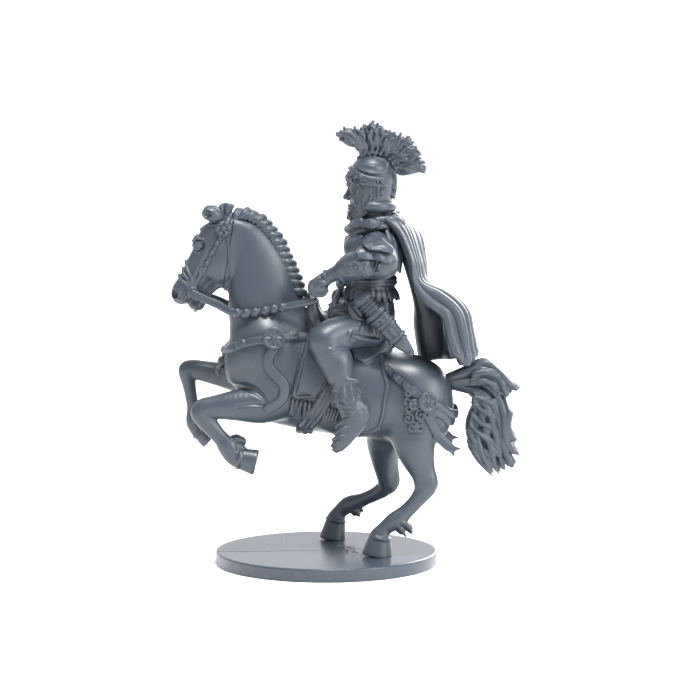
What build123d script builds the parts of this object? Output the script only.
"""A mounted general: an unpainted multi-part plastic figure of a rider on a rearing horse, on a round base.

Frame: +Z up, the horse faces -X, its left side is -Y. The origin is the centre of the base's underside.
All sizes are millimetres.
"""

import os
from itertools import pairwise

from build123d import *

# Base
BASE_RADIUS = 12.5
BASE_HEIGHT = 1.5
BASE_EDGE = 0.25
SCORE_WIDTH = 0.16
SCORE_DEPTH = 0.08
SCORE_END_X = 0.4

# How far each layer over the horse's skin stands out from it
FIRST_LAYER = 0.36
SECOND_LAYER = 0.72
SADDLE_LAYER = 1.30
BRIDLE_LAYER = 0.30

# Locating pegs and their sockets
PEG_RADIUS = 0.5
PEG_CLEARANCE = 0.03
PEG_LENGTH = 1.0
SOCKET_BOTTOM = 0.1  # the gap left below a peg
ACROSS = 30.0  # longer than any sub-part is wide

# A joint sphere is this much larger than the bones that meet in it
KNUCKLE = 1.03

# Horse sections: (x, z) of the centre, half height, half width
BARREL_TILT = -13.0
BARREL = [
    ((-11.4, 22.6), 1.5, 1.4),
    ((-10.2, 22.6), 3.9, 3.1),
    ((-7.2, 22.4), 5.7, 4.2),
    ((-3.0, 21.6), 6.1, 4.7),
    ((1.5, 20.5), 5.8, 4.8),
    ((6.0, 19.4), 5.2, 4.6),
    ((9.8, 18.4), 4.8, 4.3),
    ((12.6, 17.7), 3.7, 3.3),
    ((14.2, 17.5), 1.6, 1.4),
]
# Neck sections: (x, z) of the centre, half length, half width
NECK = [
    ((-6.4, 25.5), 4.5, 3.2),
    ((-6.7, 28.5), 4.3, 2.7),
    ((-7.2, 32.0), 3.8, 2.2),
    ((-7.9, 35.3), 3.0, 1.8),
    ((-8.9, 38.0), 2.0, 1.5),
    ((-9.5, 39.2), 0.9, 0.8),
]
# Head sections, from poll to lips: (x, z) of the centre, half depth, half width
HEAD_AXIS = (-6.2, 0.0, -8.8)
HEAD = [
    ((-10.6, 39.0), 1.1, 1.0),
    ((-12.0, 36.9), 2.4, 1.7),
    ((-13.2, 34.7), 2.2, 1.5),
    ((-14.6, 32.8), 1.7, 1.2),
    ((-15.8, 31.0), 1.4, 1.1),
    ((-16.4, 29.9), 0.9, 0.8),
]

# Limbs: each joint is (x, y, z, radius)
FORELEG_LEFT = [
    (-6.6, -2.6, 20.6, 2.5),
    (-6.4, -3.1, 18.6, 2.1),
    (-10.4, -3.4, 18.4, 1.6),
    (-14.2, -3.5, 17.9, 1.25),
    (-12.7, -3.5, 15.7, 0.85),
    (-11.0, -3.4, 13.5, 1.05),
    (-10.1, -3.4, 12.3, 0.95),
]
FORELEG_RIGHT = [
    (-7.4, 2.6, 21.0, 2.5),
    (-8.8, 3.1, 20.4, 2.0),
    (-12.6, 3.2, 21.0, 1.4),
    (-16.0, 3.2, 21.7, 1.15),
    (-15.7, 3.2, 18.6, 0.8),
    (-15.1, 3.2, 15.1, 0.95),
    (-14.4, 3.2, 14.3, 0.85),
]
HINDLEG_LEFT = [
    (9.8, -1.8, 18.0, 3.2),
    (9.2, -3.0, 14.6, 2.3),
    (10.4, -3.7, 11.3, 1.6),
    (11.3, -3.9, 8.9, 1.25),
    (9.4, -4.0, 6.9, 0.9),
    (7.6, -4.1, 5.3, 1.05),
    (6.6, -4.1, 4.1, 0.95),
]
HINDLEG_RIGHT = [
    (9.0, 1.8, 17.6, 3.2),
    (6.2, 3.6, 13.6, 2.1),
    (6.7, 4.8, 10.2, 1.35),
    (7.1, 5.5, 7.8, 1.2),
    (4.6, 6.3, 6.4, 0.85),
    (2.3, 6.8, 5.4, 1.0),
    (1.4, 6.9, 4.4, 0.95),
]
# Hooves: (crown centre), (sole centre), crown radius, sole radius
HOOVES = {
    "foreleg_left": ((-10.0, -3.4, 12.2), (-8.0, -3.4, 11.5), 1.1, 1.6),
    "foreleg_right": ((-14.4, 3.2, 14.3), (-13.2, 3.2, 13.1), 0.9, 1.25),
    "hindleg_left": ((6.5, -4.1, 3.6), (6.1, -4.1, BASE_HEIGHT), 1.3, 1.8),
    "hindleg_right": ((1.4, 6.9, 3.6), (0.9, 6.9, BASE_HEIGHT), 1.2, 1.6),
}
TAIL = [
    (14.0, 0.0, 20.6, 0.9),
    (16.0, 0.0, 21.3, 1.3),
    (18.2, 0.0, 20.8, 1.9),
    (18.8, 0.0, 17.8, 2.2),
    (18.5, 0.0, 14.4, 2.6),
    (18.8, 0.0, 12.2, 1.7),
]
MANE_LINE = [(-9.6, 39.7), (-7.2, 38.7), (-5.2, 36.6), (-3.7, 33.6), (-2.6, 30.0)]
MANE_HALF_WIDTH = 0.7
MANE_HALF_THICKNESS = 0.55
EAR = [(-12.0, 0.8, 38.9, 0.55), (-12.9, 1.1, 40.3, 0.7)]

# Tack, as side profiles in (x, z)
CLOTH_PROFILE = [
    (-2.3, 31.0),
    (-2.2, 25.0),
    (-3.8, 19.4),
    (-1.3, 18.4),
    (0.4, 20.5),
    (2.2, 15.2),
    (4.0, 14.6),
    (6.0, 15.0),
    (6.7, 16.6),
    (7.0, 20.0),
    (6.3, 23.4),
    (6.4, 31.0),
]
SADDLE_PROFILE = [
    (-1.5, 31.0),
    (-1.4, 25.4),
    (2.6, 24.6),
    (3.0, 23.0),
    (4.2, 22.5),
    (5.3, 23.2),
    (7.2, 24.0),
    (7.2, 31.0),
]
SADDLE_HORNS = [
    [(-0.8, 1.7, 26.8, 0.9), (-1.6, 2.0, 28.9, 0.6)],
    [(6.5, 1.9, 25.0, 0.9), (7.1, 2.2, 26.8, 0.6)],
]
TASSEL_TOPS = [(-3.5, 19.1), (-3.0, 18.9), (-2.5, 18.7), (-2.0, 18.5), (-1.5, 18.3)]
TASSEL_LENGTH = 1.7
TASSEL_HALF_WIDTH = 0.16
GIRTH_LINE = [(0.8, 22.0), (-1.1, 18.4), (-3.0, 14.4)]
BREAST_LINE = [(-1.8, 25.8), (-5.9, 25.5), (-9.5, 24.9), (-12.6, 24.2)]
CRUPPER_LINE = [(6.2, 23.0), (8.4, 21.1), (11.2, 18.6), (13.0, 17.6), (15.4, 16.2)]
DROP_LINE = [(-6.1, 24.4), (-6.2, 22.6), (-5.2, 21.0), (-4.8, 19.6), (-5.7, 18.0)]
STRAP_HALF_WIDTH = 0.45
DISCS = [(-5.9, 4.3, 25.6), (11.2, 5.3, 18.5)]
DISC_RADIUS = 1.15
DISC_THICKNESS = 0.45
CHEEK_LINE = [(-11.5, 38.6), (-13.2, 35.2), (-15.1, 31.4)]
NOSE_LINE = [(-17.6, 32.9), (-16.0, 32.2), (-14.2, 31.2)]
BROW_LINE = [(-14.2, 39.0), (-12.8, 38.3), (-11.4, 38.2)]
THROAT_LINE = [(-11.2, 38.0), (-11.0, 35.0), (-10.9, 32.0)]
BRIDLE_HALF_WIDTH = 0.28
REIN = [(-15.0, 1.7, 31.0), (-11.4, 2.6, 29.2), (-8.0, 3.2, 28.4), (-4.6, 3.3, 28.9), (-1.5, 3.6, 29.8)]
REIN_BENDS = [2.5, 4.0, 4.0]
REIN_RADIUS = 0.42

# Rider
LEG = [
    (4.2, 2.2, 27.4, 2.0),
    (-0.4, 5.7, 26.0, 1.8),
    (1.1, 6.5, 23.3, 1.65),
    (2.6, 6.5, 20.3, 1.2),
    (3.2, 6.4, 18.4, 1.3),
]
FOOT = [(3.7, 6.4, 17.4, 1.25), (1.6, 6.2, 14.2, 1.0)]
HIPS = [((4.7, 26.9), 2.2, 2.3), ((4.7, 28.2), 2.7, 2.9), ((4.8, 29.6), 2.5, 2.7)]
TORSO = [
    ((4.8, 29.9), 2.5, 2.7),
    ((5.0, 32.2), 2.7, 3.0),
    ((5.2, 35.0), 3.1, 3.5),
    ((5.2, 37.1), 2.5, 3.3),
    ((5.2, 38.2), 1.2, 1.3),
]
ARM_LEFT = [
    (5.4, -3.9, 36.2, 1.5),
    (6.6, -5.5, 34.1, 1.5),
    (1.2, -4.8, 33.3, 0.95),
    (-0.9, -4.2, 32.1, 1.1),
]
ARM_RIGHT = [
    (5.4, 3.9, 36.2, 1.5),
    (7.0, 5.8, 33.2, 1.4),
    (3.6, 6.3, 30.6, 0.95),
    (1.9, 5.6, 29.3, 1.05),
]
SKIRT = [((4.9, 26.2), 3.6, 4.3), ((4.9, 29.5), 2.7, 3.0)]
SKIRT_WALL = 0.45
BELT = [((4.8, 29.55), 2.85, 3.1), ((4.85, 30.4), 2.85, 3.1)]
RIDER_HEAD = [
    ((5.0, 38.2), 0.95, 0.9),
    ((4.6, 39.5), 1.5, 1.2),
    ((4.3, 41.0), 2.0, 1.5),
    ((4.5, 42.8), 2.1, 1.7),
    ((4.9, 44.4), 1.5, 1.4),
]
HELMET_CENTRE = (5.2, 0.0, 43.5)
HELMET_RADIUS = 2.6
HELMET_RIM_Z = 42.8
PLUME_HALF_THICKNESS = 0.8

# The cloak's rolled collar
COLLAR = [((5.0, 38.0), 2.2, 2.3), ((5.1, 38.7), 2.7, 2.7), ((5.2, 39.4), 2.2, 2.3)]

# The sword in its scabbard on the left hip, along one straight line
SWORD_TOP = (3.0, -5.0, 31.3)
SWORD_TIP = (9.6, -5.3, 24.0)
HILT_LENGTH = 3.2
SCABBARD_HALF = [(1.15, 0.6), (0.75, 0.45)]  # half width and half thickness, mouth and tip
GRIP_RADIUS = 0.55
POMMEL_RADIUS = 0.85

# Cloak: (x, z) down its middle, half width
CLOAK = [
    ((7.6, 39.0), 2.6),
    ((9.4, 37.2), 3.9),
    ((10.3, 34.2), 4.4),
    ((11.4, 31.4), 4.8),
    ((14.4, 29.4), 5.3),
    ((16.4, 26.8), 5.6),
    ((17.3, 23.8), 5.7),
]
CLOAK_THICKNESS = 0.7


def sections(stations, direction, grow=0.0):
    """Lofts elliptical sections square to one direction; grow moves the whole skin outwards."""
    with BuildPart() as body:
        for (x, z), half_depth, half_width in stations:
            with BuildSketch(Plane(origin=(x, 0, z), x_dir=(0, 1, 0), z_dir=direction)):
                Ellipse(half_width + grow, half_depth + grow)
        loft()
    return body.part


def limb(joints):
    """A chain of tapered bones with a round joint at each point."""
    with BuildPart() as chain:
        for x, y, z, radius in joints:
            with Locations((x, y, z)):
                Sphere(radius * KNUCKLE)
        for (*start, start_radius), (*end, end_radius) in pairwise(joints):
            along = Vector(*end) - Vector(*start)
            with Locations(Plane(origin=start, z_dir=along)):
                if abs(start_radius - end_radius) < 0.01:
                    Cylinder(start_radius, along.length, align=(Align.CENTER, Align.CENTER, Align.MIN))
                else:
                    Cone(
                        start_radius,
                        end_radius,
                        along.length,
                        align=(Align.CENTER, Align.CENTER, Align.MIN),
                    )
    return chain.part


def hoof(crown, sole, crown_radius, sole_radius):
    """A hoof: a cone that widens to a flat sole."""
    along = Vector(*sole) - Vector(*crown)
    with BuildPart(Plane(origin=crown, z_dir=along)) as block:
        Cone(
            crown_radius,
            sole_radius,
            along.length,
            align=(Align.CENTER, Align.CENTER, Align.MIN),
        )
    return block.part


def across(outline, half_width=ACROSS):
    """A side profile, as (x, z) points, extruded evenly to both sides of the middle plane."""
    with BuildPart() as slab:
        with BuildSketch(Plane.XZ):
            with BuildLine():
                Polyline(*outline, close=True)
            make_face()
        extrude(amount=half_width, both=True)
    return slab.part


def mirrored(joints):
    """The same joints on the other side of the middle plane."""
    return [(x, -y, z, radius) for x, y, z, radius in joints]


def ribbon_outline(points, half_width):
    """The outline, as (x, z) points, of a flat ribbon that follows a centre line."""
    upper, lower = [], []
    for i, (x, z) in enumerate(points):
        before, after = points[max(i - 1, 0)], points[min(i + 1, len(points) - 1)]
        along = Vector(after[0] - before[0], after[1] - before[1]).normalized()
        upper.append((x - along.Y * half_width, z + along.X * half_width))
        lower.append((x + along.Y * half_width, z - along.X * half_width))
    return upper + lower[::-1]


def profile_slab(line, half_width):
    """A ribbon along a centre line, extruded across the whole object."""
    return across(ribbon_outline(line, half_width))


def peg(start, end, radius):
    """A round peg between two points."""
    along = Vector(*end) - Vector(*start)
    with BuildPart(Plane(origin=start, z_dir=along)) as pin:
        Cylinder(radius, along.length, align=(Align.CENTER, Align.CENTER, Align.MIN))
    return pin.part


def both_sides(point):
    """A point and its mirror image."""
    x, y, z = point
    return [(x, -y, z), (x, y, z)]


# The pegs: seat, tail, horse's head and rider's neck
SEAT_PEG = ((4.7, 0, 28.0), (4.7, 0, 24.6))
TAIL_PEG = ((15.0, 0, 20.8), (12.2, 0, 20.4))
HORSE_HEAD_PEG = ((-11.6, 0, 37.4), (-8.8, 0, 37.0))
NECK_PEG = ((5.1, 0, 39.0), (5.1, 0, 36.8))


def socket(start, end):
    """The clear hole for a peg between two points, a little wider and deeper than the peg."""
    along = (Vector(*end) - Vector(*start)).normalized()
    return peg(start, Vector(*end) + along * SOCKET_BOTTOM, PEG_RADIUS + PEG_CLEARANCE)


seat_socket = socket(*SEAT_PEG)
tail_socket = socket(*TAIL_PEG)
horse_head_socket = socket(*HORSE_HEAD_PEG)
neck_socket = socket(*NECK_PEG)
STANDING = [HOOVES[name][1] for name in ("hindleg_left", "hindleg_right")]

# ---------------------------------------------------------------- base
with BuildPart() as base:
    Cylinder(BASE_RADIUS, BASE_HEIGHT, align=(Align.CENTER, Align.CENTER, Align.MIN))
    chamfer(base.edges().filter_by(GeomType.CIRCLE).group_by(Axis.Z)[-1], BASE_EDGE)
    with BuildSketch(Plane.XY.offset(BASE_HEIGHT)):
        with Locations(((SCORE_END_X - BASE_RADIUS) / 2, 0)):
            Rectangle(SCORE_END_X + BASE_RADIUS, SCORE_WIDTH)
    extrude(amount=-SCORE_DEPTH, mode=Mode.SUBTRACT)
    with Locations(*[(x, y, z) for x, y, z in STANDING]):
        Hole(PEG_RADIUS + PEG_CLEARANCE, PEG_LENGTH)

# ---------------------------------------------------------------- horse
BODY_AXIS = Vector(1, 0, 0).rotate(Axis.Y, -BARREL_TILT)
UP = (0, 0, 1)
bare_barrel = sections(BARREL, BODY_AXIS)
bare_neck = sections(NECK, UP)
first_barrel = sections(BARREL, BODY_AXIS, FIRST_LAYER)


def horse_half(side, legs, hooves):
    """One moulded half of the horse with its own legs; a hoof that stands has a peg."""
    beyond = Align.MIN if side < 0 else Align.MAX
    limbs = [limb(leg) for leg in legs] + [hoof(*HOOVES[name]) for name in hooves]
    with BuildPart() as half:
        add(bare_barrel)
        add(bare_neck)
        add(limbs)
        Box(80, ACROSS, 120, align=(Align.CENTER, beyond, Align.CENTER), mode=Mode.SUBTRACT)
        Box(80, 80, BASE_HEIGHT, align=(Align.CENTER, Align.CENTER, Align.MIN), mode=Mode.SUBTRACT)
        with Locations(*[HOOVES[name][1] for name in hooves if HOOVES[name][1] in STANDING]):
            Cylinder(PEG_RADIUS, PEG_LENGTH - SOCKET_BOTTOM, align=(Align.CENTER, Align.CENTER, Align.MAX))
        add([seat_socket, tail_socket, horse_head_socket], mode=Mode.SUBTRACT)
    return half


horse_left_half = horse_half(-1, (FORELEG_LEFT, HINDLEG_LEFT), ("foreleg_left", "hindleg_left"))
horse_right_half = horse_half(1, (FORELEG_RIGHT, HINDLEG_RIGHT), ("foreleg_right", "hindleg_right"))

bare_head = sections(HEAD, HEAD_AXIS)
with BuildPart() as horse_head:
    add(bare_head)
    add([limb(EAR), limb(mirrored(EAR))])
    add(bare_neck, mode=Mode.SUBTRACT)
    add(peg(*HORSE_HEAD_PEG, PEG_RADIUS))

with BuildPart() as horse_mane:
    with BuildSketch(Plane.XZ):
        with BuildLine():
            Polyline(*ribbon_outline(MANE_LINE, MANE_HALF_WIDTH), close=True)
        make_face()
    extrude(amount=MANE_HALF_THICKNESS, both=True)
    add(bare_neck, mode=Mode.SUBTRACT)
    add(bare_head, mode=Mode.SUBTRACT)

with BuildPart() as horse_tail:
    add(limb(TAIL))
    add(bare_barrel, mode=Mode.SUBTRACT)
    add(peg(*TAIL_PEG, PEG_RADIUS))

# ---------------------------------------------------------------- tack
cloth_slab = across(CLOTH_PROFILE)
with BuildPart() as saddle_cloth:
    add(first_barrel)
    add(bare_barrel, mode=Mode.SUBTRACT)
    add(cloth_slab, mode=Mode.INTERSECT)
    add([horse_left_half.part, horse_right_half.part, seat_socket], mode=Mode.SUBTRACT)

tassel_slabs = [
    profile_slab([(x, z), (x - TASSEL_LENGTH * 0.15, z - TASSEL_LENGTH)], TASSEL_HALF_WIDTH)
    for x, z in TASSEL_TOPS
]
with BuildPart() as saddle_tassels:
    add(tassel_slabs)
    add(first_barrel, mode=Mode.INTERSECT)
    add([bare_barrel, cloth_slab], mode=Mode.SUBTRACT)

second_barrel = sections(BARREL, BODY_AXIS, SECOND_LAYER)
with BuildPart() as girth:
    add(second_barrel)
    add(bare_barrel, mode=Mode.SUBTRACT)
    add(profile_slab(GIRTH_LINE, STRAP_HALF_WIDTH), mode=Mode.INTERSECT)
    add(saddle_cloth.part, mode=Mode.SUBTRACT)
    add(saddle_tassels.part, mode=Mode.SUBTRACT)

saddle_skin = sections(BARREL, BODY_AXIS, SADDLE_LAYER)
horn_solids = [limb(horn) for horn in SADDLE_HORNS] + [limb(mirrored(horn)) for horn in SADDLE_HORNS]
saddle_slab = across(SADDLE_PROFILE)
with BuildPart() as saddle:
    add(saddle_skin)
    add(saddle_slab, mode=Mode.INTERSECT)
    add(horn_solids)
    add(first_barrel, mode=Mode.SUBTRACT)
    add(bare_neck, mode=Mode.SUBTRACT)
    add(seat_socket, mode=Mode.SUBTRACT)

with BuildPart() as breast_strap:
    add(profile_slab(BREAST_LINE, STRAP_HALF_WIDTH))
    add(first_barrel, mode=Mode.INTERSECT)
    add([horse_left_half.part, horse_right_half.part], mode=Mode.SUBTRACT)
    add([saddle_cloth.part, saddle.part], mode=Mode.SUBTRACT)

with BuildPart() as drop_straps:
    add(profile_slab(DROP_LINE, STRAP_HALF_WIDTH))
    add(first_barrel, mode=Mode.INTERSECT)
    add([horse_left_half.part, horse_right_half.part], mode=Mode.SUBTRACT)
    add([breast_strap.part, saddle_cloth.part, saddle_tassels.part], mode=Mode.SUBTRACT)

with BuildPart() as crupper_strap:
    add(profile_slab(CRUPPER_LINE, STRAP_HALF_WIDTH))
    add(first_barrel, mode=Mode.INTERSECT)
    add([horse_left_half.part, horse_right_half.part], mode=Mode.SUBTRACT)
    add([saddle_cloth.part, saddle.part, horse_tail.part], mode=Mode.SUBTRACT)

with BuildPart() as breast_discs:
    for x, y, z in both_sides(DISCS[0]):
        with BuildSketch(Plane(origin=(x, y, z), z_dir=(0, y, 0))):
            Circle(DISC_RADIUS)
        extrude(amount=DISC_THICKNESS)
    add([horse_left_half.part, horse_right_half.part], mode=Mode.SUBTRACT)
    add([breast_strap.part, drop_straps.part], mode=Mode.SUBTRACT)

with BuildPart() as rump_discs:
    for x, y, z in both_sides(DISCS[1]):
        with BuildSketch(Plane(origin=(x, y, z), z_dir=(0, y, 0))):
            Circle(DISC_RADIUS)
        extrude(amount=DISC_THICKNESS)
    add([horse_left_half.part, horse_right_half.part], mode=Mode.SUBTRACT)
    add(crupper_strap.part, mode=Mode.SUBTRACT)

bridle_skin = sections(HEAD, HEAD_AXIS, BRIDLE_LAYER)
with BuildPart() as bridle:
    for line in (CHEEK_LINE, NOSE_LINE, BROW_LINE, THROAT_LINE):
        add(profile_slab(line, BRIDLE_HALF_WIDTH))
    add(bridle_skin, mode=Mode.INTERSECT)
    add(horse_head.part, mode=Mode.SUBTRACT)
    add([horse_left_half.part, horse_right_half.part, horse_mane.part], mode=Mode.SUBTRACT)


def rein_solid(side):
    """One rein: a round strap from the bit along the neck to the rider's hand."""
    route = [(x, side * y, z) for x, y, z in REIN]
    with BuildPart() as strap:
        with BuildLine() as path:
            FilletPolyline(*route, radius=REIN_BENDS)
        with BuildSketch(path.line ^ 0):
            Circle(REIN_RADIUS)
        sweep()
        add([horse_left_half.part, horse_right_half.part], mode=Mode.SUBTRACT)
        add([horse_head.part, bridle.part, horse_mane.part], mode=Mode.SUBTRACT)
        add([saddle.part, saddle_cloth.part], mode=Mode.SUBTRACT)
    return strap


rein_left = rein_solid(-1)
rein_right = rein_solid(1)

# ---------------------------------------------------------------- rider
leg_solids = [limb(LEG), limb(mirrored(LEG)), limb(FOOT), limb(mirrored(FOOT))]
hips = sections(HIPS, UP)
with BuildPart() as rider_lower_body:
    add(hips)
    add(leg_solids)
    add([first_barrel, saddle.part, girth.part], mode=Mode.SUBTRACT)
    add(bare_neck, mode=Mode.SUBTRACT)
    add(peg(*SEAT_PEG, PEG_RADIUS))

torso_solid = sections(TORSO, UP)
with BuildPart() as rider_torso:
    add(torso_solid)
    add(hips, mode=Mode.SUBTRACT)
    add(neck_socket, mode=Mode.SUBTRACT)

with BuildPart() as belt:
    add(sections(BELT, UP))
    add([hips, torso_solid], mode=Mode.SUBTRACT)

with BuildPart() as tunic_skirt:
    add(sections(SKIRT, UP))
    add(sections(SKIRT, UP, -SKIRT_WALL), mode=Mode.SUBTRACT)
    add([rider_lower_body.part, rider_torso.part, belt.part], mode=Mode.SUBTRACT)
    add([saddle.part, first_barrel], mode=Mode.SUBTRACT)

left_arm_solid = limb(ARM_LEFT)
right_arm_solid = limb(ARM_RIGHT)
with BuildPart() as rider_left_arm:
    add(left_arm_solid)
    add([rider_torso.part, rein_left.part, belt.part], mode=Mode.SUBTRACT)
with BuildPart() as rider_right_arm:
    add(right_arm_solid)
    add([rider_torso.part, rider_lower_body.part, tunic_skirt.part, belt.part], mode=Mode.SUBTRACT)


def shoulder_guard(side, arm):
    """The layered leather straps over one shoulder, as a cap over the arm."""
    x, y, z, radius = ARM_LEFT[0]
    with BuildPart() as guard:
        with Locations((x, side * abs(y), z)):
            Sphere(radius + 0.55)
            Box(8, 8, 8, align=(Align.CENTER, Align.CENTER, Align.MAX), mode=Mode.SUBTRACT)
        add([arm, torso_solid], mode=Mode.SUBTRACT)
    return guard


shoulder_guard_left = shoulder_guard(-1, left_arm_solid)
shoulder_guard_right = shoulder_guard(1, right_arm_solid)

head_solid = sections(RIDER_HEAD, UP)
with BuildPart() as rider_head:
    add(head_solid)
    add(torso_solid, mode=Mode.SUBTRACT)
    add(peg(*NECK_PEG, PEG_RADIUS))

with BuildPart() as helmet:
    with Locations(HELMET_CENTRE):
        Sphere(HELMET_RADIUS)
    Box(20, 20, 2 * HELMET_RIM_Z, mode=Mode.SUBTRACT)
    for side in (-1, 1):
        with Locations((4.4, side * 1.75, 41.3)):
            Box(2.4, 0.7, 3.8)
    with Locations((7.3, 0, 41.6)):
        Box(1.0, 3.4, 2.8)
    add([head_solid, torso_solid], mode=Mode.SUBTRACT)

with BuildPart() as helmet_plume:
    with BuildSketch(Plane.XZ):
        with BuildLine():
            Spline((4.0, 45.2), (3.6, 47.3), (1.6, 48.5))
            Spline((1.6, 48.5), (4.6, 50.1), (8.6, 49.2), (11.1, 45.0))
            Polyline((11.1, 45.0), (8.6, 45.2), (7.0, 44.2), (4.0, 45.2))
        make_face()
    extrude(amount=PLUME_HALF_THICKNESS, both=True)
    add([helmet.part, head_solid], mode=Mode.SUBTRACT)

with BuildPart() as cloak:
    for i, ((x, z), half_width) in enumerate(CLOAK):
        before, after = CLOAK[max(i - 1, 0)][0], CLOAK[min(i + 1, len(CLOAK) - 1)][0]
        along = (after[0] - before[0], 0, after[1] - before[1])
        with BuildSketch(Plane(origin=(x, 0, z), x_dir=(0, 1, 0), z_dir=along)):
            Rectangle(2 * half_width, CLOAK_THICKNESS)
    loft(ruled=True)

    add([torso_solid, helmet.part, rider_left_arm.part, rider_right_arm.part], mode=Mode.SUBTRACT)
    add([shoulder_guard_left.part, shoulder_guard_right.part, horse_tail.part], mode=Mode.SUBTRACT)

with BuildPart() as cloak_collar:
    add(sections(COLLAR, UP))
    add([torso_solid, head_solid, helmet.part], mode=Mode.SUBTRACT)
    add([shoulder_guard_left.part, shoulder_guard_right.part, cloak.part], mode=Mode.SUBTRACT)

sword_line = Vector(*SWORD_TIP) - Vector(*SWORD_TOP)
sword_way = sword_line.normalized()
mouth = Vector(*SWORD_TOP) + sword_way * HILT_LENGTH
with BuildPart() as scabbard:
    for point, (half_width, half_thickness) in zip((mouth, Vector(*SWORD_TIP)), SCABBARD_HALF):
        with BuildSketch(Plane(origin=point, x_dir=(0, 1, 0), z_dir=sword_way)):
            RectangleRounded(2 * half_thickness, 2 * half_width, 0.3)
    loft()
    add([rider_lower_body.part, tunic_skirt.part, saddle.part], mode=Mode.SUBTRACT)

hilt_plane = Plane(origin=SWORD_TOP, x_dir=(0, 1, 0), z_dir=sword_way)
with BuildPart(hilt_plane) as sword_hilt:
    Sphere(POMMEL_RADIUS)
    Cylinder(GRIP_RADIUS, HILT_LENGTH, align=(Align.CENTER, Align.CENTER, Align.MIN))
    with BuildSketch(hilt_plane.offset(HILT_LENGTH - 0.5)):
        RectangleRounded(1.5, 2.7, 0.3)
    extrude(amount=0.5)
    add([belt.part, tunic_skirt.part, rider_left_arm.part, rider_torso.part], mode=Mode.SUBTRACT)

pieces = {
    "base": base,
    "horse_left_half": horse_left_half,
    "horse_right_half": horse_right_half,
    "horse_head": horse_head,
    "horse_mane": horse_mane,
    "horse_tail": horse_tail,
    "saddle_cloth": saddle_cloth,
    "saddle_tassels": saddle_tassels,
    "girth": girth,
    "saddle": saddle,
    "breast_strap": breast_strap,
    "drop_straps": drop_straps,
    "crupper_strap": crupper_strap,
    "breast_discs": breast_discs,
    "rump_discs": rump_discs,
    "bridle": bridle,
    "rein_left": rein_left,
    "rein_right": rein_right,
    "rider_lower_body": rider_lower_body,
    "rider_torso": rider_torso,
    "belt": belt,
    "tunic_skirt": tunic_skirt,
    "rider_left_arm": rider_left_arm,
    "rider_right_arm": rider_right_arm,
    "shoulder_guard_left": shoulder_guard_left,
    "shoulder_guard_right": shoulder_guard_right,
    "rider_head": rider_head,
    "helmet": helmet,
    "helmet_plume": helmet_plume,
    "cloak": cloak,
    "cloak_collar": cloak_collar,
    "scabbard": scabbard,
    "sword_hilt": sword_hilt,
}

os.makedirs("parts", exist_ok=True)
for name, piece in pieces.items():
    piece.part.label = name
    export_step(piece.part, f"parts/{name}.step")
